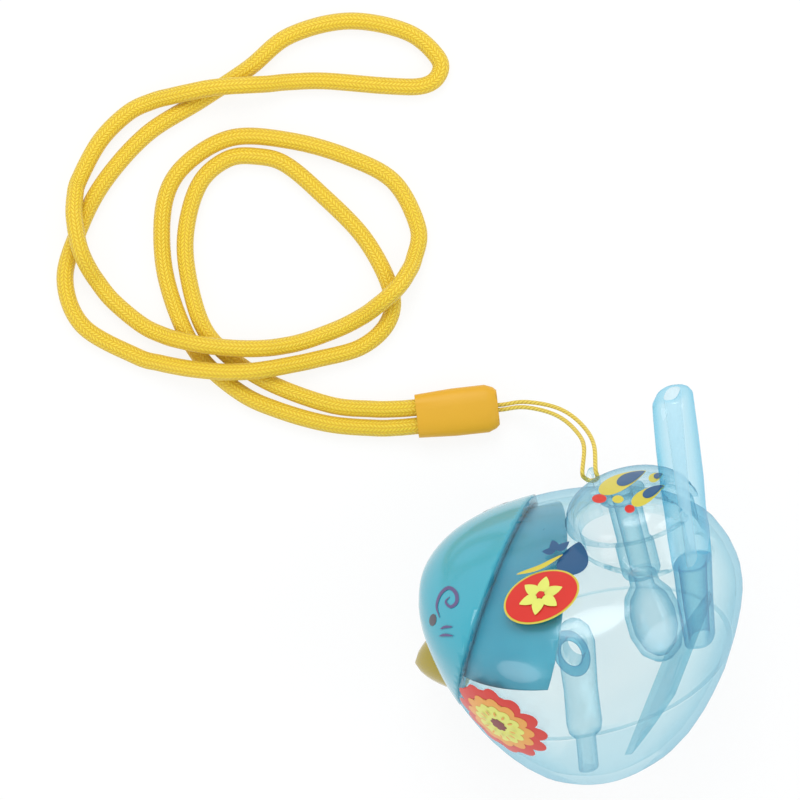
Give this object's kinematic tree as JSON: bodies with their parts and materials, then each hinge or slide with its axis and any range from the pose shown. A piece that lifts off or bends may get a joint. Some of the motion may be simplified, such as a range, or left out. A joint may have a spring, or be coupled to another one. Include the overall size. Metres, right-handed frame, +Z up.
{
  "type": "bird whistle",
  "caption": "Bird-shaped water whistle of clear plastic with an upright tail mouthpiece, round rear lid, opaque head cap and beak, on a corded neck lanyard",
  "frame": {"origin": "on the floor under the middle of the bird's bounding box, measured without the lanyard", "axes": "+X to the right and +Y to the top of the picture, +Z up out of the floor; the bird lies tilted as in the picture with its mouthpiece towards +Y"},
  "size_m": [0.1565, 0.1778, 0.0724],
  "materials": {
    "upper_shell": "clear blue tinted, glossy",
    "lower_shell": "clear blue tinted, glossy",
    "head_cap": "opaque light blue, glossy",
    "front_bulkhead": "blue, nearly opaque",
    "beak": "opaque olive yellow, glossy",
    "back_lid": "clear blue tinted, glossy",
    "filler_tube": "clear blue tinted",
    "warble_bulb": "clear blue tinted",
    "mouthpiece": "clear blue tinted, glossy",
    "air_duct": "clear blue tinted",
    "whistle_tube": "clear blue tinted",
    "baffle": "clear blue tinted",
    "strap_cord": "thin twisted yellow cord",
    "ferrule": "soft matte yellow-orange",
    "lanyard_rope": "braided shiny yellow cord"
  },
  "bodies": {
    "root": {"upper_shell": "upper_shell", "lower_shell": "lower_shell", "head_cap": "head_cap", "front_bulkhead": "front_bulkhead", "beak": "beak", "back_lid": "back_lid", "filler_tube": "filler_tube", "warble_bulb": "warble_bulb", "mouthpiece": "mouthpiece", "air_duct": "air_duct", "whistle_tube": "whistle_tube", "baffle": "baffle", "strap_cord": "strap_cord", "ferrule": "ferrule", "lanyard_rope": "lanyard_rope"}
  },
  "joints": []
}
